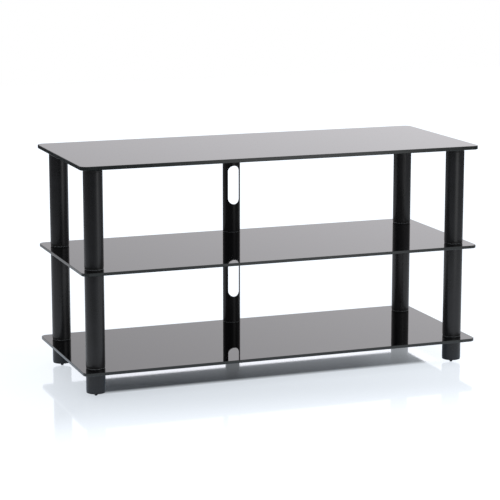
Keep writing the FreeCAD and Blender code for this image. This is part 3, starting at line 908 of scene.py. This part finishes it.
# painted shade: the polish under the rack, and with it the dark band, eases towards the right and the back
SHADE_EASES_RIGHT = (0.25, 0.79)
SHADE_EASES_BACK = (-0.018, 0.87)
POLISH_TINT = "#f6f9fc"
floor_paint, tree, place = start_finish("white studio floor")
rays = add_node(tree, "LightPath")
across = add_node(tree, "SeparateXYZ", {0: place})
glow = add_node(tree, "Emission", {"Color": linear(FLOOR_WHITE), "Strength": FLOOR_GLOW})
shaded = add_node(tree, "BsdfDiffuse", {"Color": [FLOOR_SHADED * part for part in linear(FLOOR_WHITE)]})
paint = add_node(tree, "AddShader", {0: glow.outputs[0], 1: shaded.outputs[0]})
aside = add_node(tree, "Math", {0: across.outputs["X"]}, operation="ABSOLUTE")
aside = add_node(tree, "Math", {0: aside.outputs[0], 1: POLISHED_X}, operation="SUBTRACT")
ahead = add_node(tree, "Math", {0: POLISHED_FRONT, 1: across.outputs["Y"]}, operation="SUBTRACT")
behind = add_node(tree, "Math", {0: across.outputs["Y"], 1: POLISHED_BACK}, operation="SUBTRACT")
away = add_node(tree, "Math", {0: ahead.outputs[0], 1: behind.outputs[0]}, operation="MAXIMUM")
away = add_node(tree, "Math", {0: away.outputs[0], 1: aside.outputs[0]}, operation="MAXIMUM")
far = add_node(tree, "MapRange", {"Value": away.outputs[0], "From Max": FLOOR_REACH})
# painted shade: the floor as mirrored grows darker away from the rack
tone = add_node(tree, "ValToRGB", {"Fac": far.outputs[0]}, MIRRORED_FLOOR_SHADE)
# painted shade: and darker still in front of the rack's left half, where the camera stands
nearer = add_node(tree, "MapRange", {
    "Value": across.outputs["Y"], "From Min": DIM_BEFORE[0], "From Max": DIM_BEFORE[1], "To Min": CAMERA_DIM})
righter = add_node(tree, "MapRange", {
    "Value": across.outputs["X"], "From Min": DIM_LEFT_OF[0], "From Max": DIM_LEFT_OF[1],
    "To Min": CAMERA_DIM})
bright = add_node(tree, "Math", {0: nearer.outputs[0], 1: righter.outputs[0]}, operation="MAXIMUM")
tone = add_node(tree, "VectorMath", {0: tone.outputs["Color"], "Scale": bright.outputs[0]}, operation="SCALE")
lit = add_node(tree, "BsdfDiffuse", {"Color": tone.outputs[0]})
# painted light: the mirrored floor glows faintly, though it is no lamp
painted_glow = add_node(tree, "Emission", {"Color": tone.outputs[0], "Strength": MIRRORED_GLOW})
mirrored = add_node(tree, "AddShader", {0: lit.outputs[0], 1: painted_glow.outputs[0]})
# painted shade: the floor under the rack is polished nearly to a mirror, so that its real reflection of the
# dark underside stands in for the shade beneath the shelf, which the floor's glow hides
under = add_node(tree, "MapRange", {
    "Value": away.outputs[0], "From Min": -POLISH_EDGE / 2, "From Max": POLISH_EDGE / 2,
    "To Min": POLISH_UNDER, "To Max": 0.0}, interpolation_type="SMOOTHSTEP")
# painted shade: that polish eases towards the right and the back, shaping the dark band under the shelf
shade_eases_right = add_node(tree, "MapRange", {
    "Value": across.outputs["X"], "From Min": SHADE_EASES_RIGHT[0], "From Max": POLISHED_X,
    "To Min": 1.0, "To Max": SHADE_EASES_RIGHT[1]})
shade_eases_back = add_node(tree, "MapRange", {
    "Value": across.outputs["Y"], "From Min": POLISHED_FRONT, "From Max": SHADE_EASES_BACK[0],
    "To Min": 1.0, "To Max": SHADE_EASES_BACK[1]})
shade_eases = add_node(tree, "Math", {0: shade_eases_right.outputs[0], 1: shade_eases_back.outputs[0]}, operation="MULTIPLY")
here = add_node(tree, "MapRange", {
    "Value": across.outputs["X"], "From Min": -POLISHED_X, "From Max": POLISHED_X,
    "To Min": POLISH_LEFT, "To Max": POLISH_RIGHT})
fade = add_node(tree, "MapRange", {
    "Value": across.outputs["X"], "From Min": -POLISHED_X, "From Max": POLISHED_X,
    "To Min": FADE_LEFT, "To Max": FADE_RIGHT})
around = add_node(tree, "MapRange", {
    "Value": away.outputs[0], "From Min": fade.outputs[0], "From Max": POLISH_REACH,
    "To Min": here.outputs[0], "To Max": 0.0}, interpolation_type="SMOOTHSTEP")
polish = add_node(tree, "Math", {
    0: under.outputs[0], 1: shade_eases.outputs[0], 2: around.outputs[0]}, operation="MULTIPLY_ADD")
polish = add_node(tree, "Math", {0: polish.outputs[0], 1: POLISH_MOST}, operation="MINIMUM")
mirror = add_node(tree, "BsdfAnisotropic", {"Color": linear(POLISH_TINT), "Roughness": POLISH_BLUR})
polished = add_node(tree, "MixShader", {0: polish.outputs[0], 1: paint.outputs[0], 2: mirror.outputs[0]})
shader = add_node(tree, "MixShader", {
    0: rays.outputs["Is Camera Ray"], 1: mirrored.outputs[0], 2: polished.outputs[0]})
add_node(tree, "OutputMaterial", {"Surface": shader.outputs[0]})
hold()
bpy.ops.mesh.primitive_plane_add(size=FLOOR_SIZE)
floor = bpy.context.object
floor.name = "studio_floor"
floor.data.materials.append(floor_paint)


# Room light: an even white room. The glass and the posts mirror a white backdrop that is a little brighter
# to the right, and dimmer walls at the sides and behind the camera.
ROOM_WHITE = "#ffffff"
MIRRORED_WHITE = "#fdfbff"
ROOM_FILL = 1.0
BACKDROP_SEEN = 1.0
BACKDROP_MIDDLE = 0.55
BACKDROP_SLOPE = 1.54
BACKDROP_LEAST = 0.67
BACKDROP_MOST = 1.32
BACK_WALL = 0.80
SIDE_WALL = 0.30
CAMERA_SIDE = 0.40
room = bpy.data.worlds.new("white room")
bpy.context.scene.world = room
room.use_nodes = True
tree = room.node_tree
tree.nodes.clear()
rays = add_node(tree, "LightPath")
way = add_node(tree, "TexCoord").outputs["Generated"]
way = add_node(tree, "SeparateXYZ", {0: way})
slope = add_node(tree, "Math", {
    0: way.outputs["X"], 1: BACKDROP_SLOPE, 2: BACKDROP_MIDDLE}, operation="MULTIPLY_ADD")
slope = add_node(tree, "Clamp", {"Value": slope.outputs[0], "Min": BACKDROP_LEAST, "Max": BACKDROP_MOST})
depth = add_node(tree, "MapRange", {
    "Value": way.outputs["Y"], "From Min": SIDE_WALL, "From Max": BACK_WALL, "To Min": CAMERA_SIDE})
level = add_node(tree, "Math", {0: slope.outputs[0], 1: depth.outputs[0]}, operation="MULTIPLY")
fill = add_node(tree, "Background", {"Color": linear(ROOM_WHITE), "Strength": ROOM_FILL})
mirrored = add_node(tree, "Background", {"Color": linear(MIRRORED_WHITE), "Strength": level.outputs[0]})
backdrop = add_node(tree, "Background", {"Color": linear(ROOM_WHITE), "Strength": BACKDROP_SEEN})
lit = add_node(tree, "MixShader", {
    0: rays.outputs["Is Glossy Ray"], 1: fill.outputs[0], 2: mirrored.outputs[0]})
seen = add_node(tree, "Math", {
    0: rays.outputs["Is Camera Ray"], 1: rays.outputs["Is Transmission Ray"]}, operation="MAXIMUM")
both = add_node(tree, "MixShader", {0: seen.outputs[0], 1: lit.outputs[0], 2: backdrop.outputs[0]})
add_node(tree, "OutputWorld", {"Surface": both.outputs[0]})


# Soft box: one large soft lamp in front, to the right, which draws the long highlight down each post.
# Its cloth is brightest in the middle and fades towards the frame, so that the glass mirrors no hard edge.
SOFT_BOX_AT = (0.58, -1.45, 0.36)
SOFT_BOX_SIZE = (1.30, 0.90)
SOFT_BOX_WATTS = 4.2
SOFT_BOX_TURN = math.radians(10)
CLOTH_MIDDLE = 0.5              # the lamp's own coordinates run from 0 to 1 across its cloth
CLOTH_FADE = 0.42
hold()
bpy.ops.object.light_add(type="AREA", location=SOFT_BOX_AT)
soft_box = bpy.context.object
soft_box.name = "front_soft_box"
soft_box.data.shape = "RECTANGLE"
soft_box.data.size, soft_box.data.size_y = SOFT_BOX_SIZE
soft_box.data.energy = SOFT_BOX_WATTS
soft_box.rotation_euler = (math.pi / 2, 0, SOFT_BOX_TURN)
soft_box.visible_camera = False
soft_box.data.use_nodes = True
tree = soft_box.data.node_tree
tree.nodes.clear()
cloth = add_node(tree, "SeparateXYZ", {0: add_node(tree, "NewGeometry").outputs["Parametric"]})
fades = []
for side in ("X", "Y"):
    off = add_node(tree, "Math", {0: cloth.outputs[side], 1: CLOTH_MIDDLE}, operation="SUBTRACT")
    off = add_node(tree, "Math", {0: off.outputs[0]}, operation="ABSOLUTE")
    fades.append(add_node(tree, "MapRange", {
        "Value": off.outputs[0], "From Min": CLOTH_MIDDLE - CLOTH_FADE, "From Max": CLOTH_MIDDLE,
        "To Min": 1.0, "To Max": 0.0}, interpolation_type="SMOOTHSTEP"))
cloth = add_node(tree, "Math", {0: fades[0].outputs[0], 1: fades[1].outputs[0]}, operation="MULTIPLY")
cloth = add_node(tree, "Emission", {"Strength": cloth.outputs[0]})
add_node(tree, "OutputLight", {"Surface": cloth.outputs[0]})


# Camera: the photograph's view, from the left of centre and a little above, through a long lens.
# It has no shift, so that the views from other sides have the rack in the middle as well.
CAMERA_AT = (-1.8105, -4.8007, 1.3194)
CAMERA_YAW = math.radians(20.441)
CAMERA_DOWN = math.radians(11.076)
CAMERA_LENS = 139.21
hold()
bpy.ops.object.camera_add(location=CAMERA_AT, rotation=(math.pi / 2 - CAMERA_DOWN, 0, -CAMERA_YAW))
camera = bpy.context.object
camera.data.lens = CAMERA_LENS
bpy.context.scene.camera = camera
bpy.context.scene.view_settings.view_transform = "Standard"
